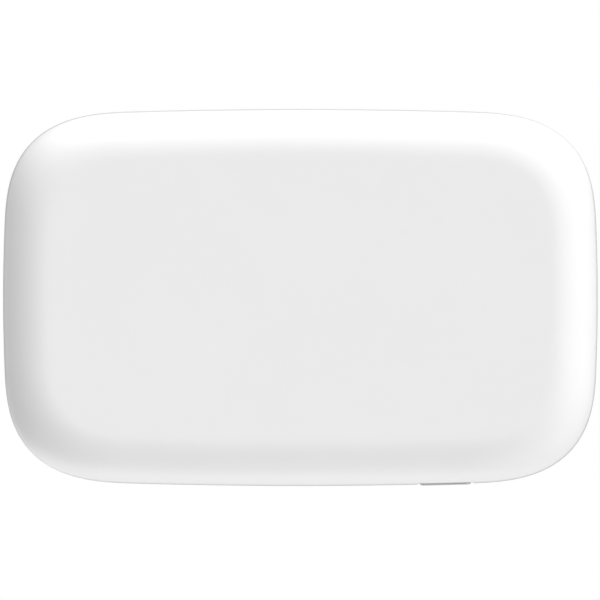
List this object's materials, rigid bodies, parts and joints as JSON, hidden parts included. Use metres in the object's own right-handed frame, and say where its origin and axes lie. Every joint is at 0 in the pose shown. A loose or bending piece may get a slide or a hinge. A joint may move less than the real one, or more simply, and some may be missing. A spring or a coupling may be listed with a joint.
{
  "type": "mobile hotspot",
  "caption": "Pocket mobile hotspot: rounded white case with a lift-off back cover over a removable battery, a side power button, a charging port and a status-light window.",
  "frame": {"origin": "centre of the flat of the back cover, which the device rests on", "axes": "+Z out of the front face with the status lights, +X along the long side, +Y towards the long edge that carries the power button; the charging port is in the -Y edge"},
  "size_m": [0.106, 0.0672, 0.0155],
  "materials": {
    "white_shell": "fine satin moulded plastic",
    "frame_black": "fine spark-eroded moulded plastic",
    "button_grey": "satin moulded plastic",
    "lens_black": "polished, back-printed",
    "clear_guide": "polished clear plastic",
    "foam": "closed-cell foam",
    "tape": "double-sided foam tape",
    "pcb_green": "solder mask over glass-fibre laminate",
    "steel": "tinned spring steel",
    "gold": "gold-plated copper alloy",
    "chip": "moulded epoxy",
    "led": "clear epoxy over phosphor",
    "thermal": "soft silicone pad",
    "battery_wrap": "wrapped lithium-ion cell, satin",
    "label_white": "blank printed label stock",
    "flex_copper": "copper on thin film"
  },
  "bodies": {
    "chassis": {"battery_connector": "frame_black", "battery_spring_1": "gold", "battery_spring_2": "gold", "battery_spring_3": "gold", "charger_inductor": "chip", "diversity_antenna_spring": "gold", "front_housing": "white_shell", "led_1": "led", "led_2": "led", "led_3": "led", "led_4": "led", "led_lens": "lens_black", "lens_adhesive": "tape", "light_guide": "clear_guide", "light_shield": "foam", "lte_diversity_antenna": "flex_copper", "lte_main_antenna": "flex_copper", "main_antenna_spring": "gold", "main_pcb": "pcb_green", "memory_chip": "chip", "mid_frame": "frame_black", "modem_chip": "chip", "modem_shield": "steel", "power_amplifier": "chip", "power_management_chip": "chip", "power_switch": "steel", "rating_label": "label_white", "reset_switch": "steel", "rf_shield": "steel", "rf_transceiver": "chip", "screw_1": "steel", "screw_2": "steel", "screw_3": "steel", "screw_4": "steel", "sim_socket_base": "frame_black", "sim_socket_cover": "steel", "thermal_pad": "thermal", "usb_shell": "steel", "usb_tongue": "chip", "wifi_antenna": "flex_copper", "wifi_antenna_spring": "gold", "wifi_chip": "chip", "wifi_shield": "steel"},
    "battery": {"battery_cell": "battery_wrap", "battery_cap": "frame_black", "battery_pad_1": "gold", "battery_pad_2": "gold", "battery_pad_3": "gold", "battery_label": "label_white"},
    "cover": {"back_cover": "white_shell", "cover_foam_pad": "foam"},
    "button": {"power_button": "button_grey"},
    "power_plunger": {"power_switch_plunger": "chip"},
    "reset_plunger": {"reset_switch_plunger": "chip"}
  },
  "joints": [
    {"name": "battery_lift", "type": "slide", "parent": "chassis", "child": "battery", "axis": [0, 0, -1], "range_m": [0, 0.02]},
    {"name": "cover_lift", "type": "slide", "parent": "battery", "child": "cover", "axis": [0, 0, -1], "range_m": [0, 0.025]},
    {"name": "power_press", "type": "slide", "parent": "chassis", "child": "button", "axis": [0, -1, 0], "range_m": [0, 0.00025]},
    {"name": "power_plunger_press", "type": "slide", "parent": "chassis", "child": "power_plunger", "axis": [0, -1, 0], "range_m": [0, 0.00025]},
    {"name": "reset_press", "type": "slide", "parent": "chassis", "child": "reset_plunger", "axis": [0, 0, 1], "range_m": [0, 0.0002]}
  ],
  "couplings": [
    {"joint": "power_plunger_press", "follows": "power_press", "ratio": 1}
  ]
}
